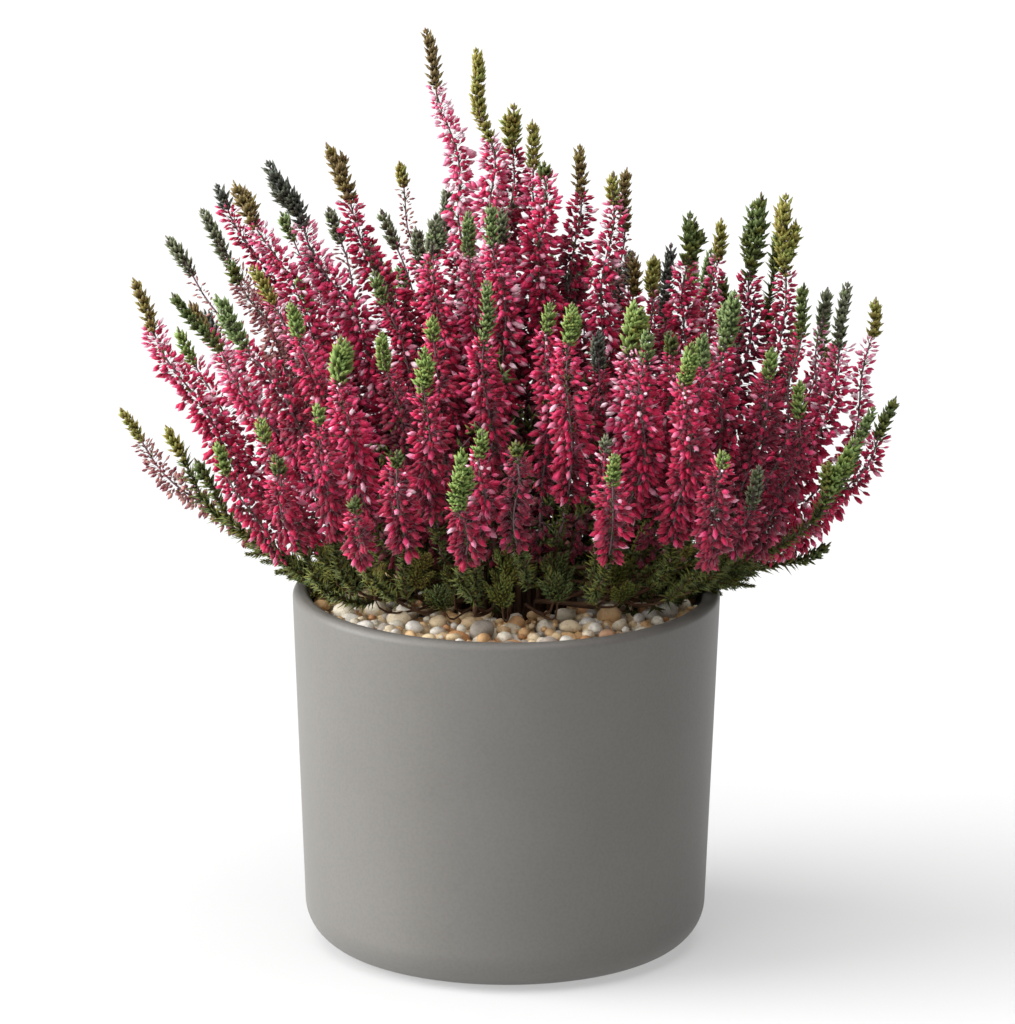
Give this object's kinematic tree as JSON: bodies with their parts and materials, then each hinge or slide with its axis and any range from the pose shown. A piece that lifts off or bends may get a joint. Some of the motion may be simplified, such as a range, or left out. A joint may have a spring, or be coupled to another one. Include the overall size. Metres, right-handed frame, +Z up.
{
  "type": "potted heather",
  "caption": "Heather in a plain round ceramic pot: a bush of upright racemes of closed bells with leafy green tips, over a gravel dressing on compost.",
  "frame": {"origin": "middle of the flat underside of the pot", "axes": "+Z up along the pot's axis, -Y towards the side that the plant is seen from, +X to the right as seen from there"},
  "size_m": [0.2628, 0.215, 0.314],
  "materials": {
    "ceramic": "satin warm grey",
    "compost": "rough, fibrous",
    "gravel": "matte, mixed white, cream, tan and grey stones",
    "blooms": "soft petals, crimson with paler tips",
    "leafy_shoots": "matte scale leaves"
  },
  "bodies": {
    "root": {"pot": "ceramic", "compost": "compost", "gravel": "gravel", "spray_back_01": "blooms", "spray_back_02": "blooms", "spray_back_03": "blooms", "spray_back_04": "blooms", "spray_back_05": "blooms", "spray_back_06": "blooms", "spray_back_07": "blooms", "spray_back_08": "blooms", "spray_back_09": "blooms", "spray_back_10": "blooms", "spray_back_11": "blooms", "spray_back_12": "blooms", "spray_front_bold": "blooms", "spray_front_broad": "blooms", "spray_front_fresh": "blooms", "spray_front_left": "blooms", "spray_front_left_inner": "blooms", "spray_front_low_left": "blooms", "spray_front_low_mid": "blooms", "spray_front_low_right": "blooms", "spray_front_mid": "blooms", "spray_front_right": "blooms", "spray_front_right_low": "blooms", "spray_front_right_side": "blooms", "spray_left_back": "blooms", "spray_left_dark": "blooms", "spray_left_front": "blooms", "spray_left_inner": "blooms", "spray_left_low": "blooms", "spray_left_side": "blooms", "spray_left_tall": "blooms", "spray_mid_front": "blooms", "spray_mid_left": "blooms", "spray_mid_olive": "blooms", "spray_right_black": "blooms", "spray_right_inner": "blooms", "spray_right_low": "blooms", "spray_right_mid": "blooms", "spray_right_side": "blooms", "spray_right_tall": "blooms", "spray_tallest": "blooms", "leafy_shoot_01": "leafy_shoots", "leafy_shoot_02": "leafy_shoots", "leafy_shoot_03": "leafy_shoots", "leafy_shoot_04": "leafy_shoots", "leafy_shoot_05": "leafy_shoots", "leafy_shoot_06": "leafy_shoots", "leafy_shoot_07": "leafy_shoots", "leafy_shoot_08": "leafy_shoots", "leafy_shoot_09": "leafy_shoots", "leafy_shoot_10": "leafy_shoots", "leafy_shoot_11": "leafy_shoots", "leafy_shoot_12": "leafy_shoots", "leafy_shoot_13": "leafy_shoots", "leafy_shoot_14": "leafy_shoots"}
  },
  "joints": []
}
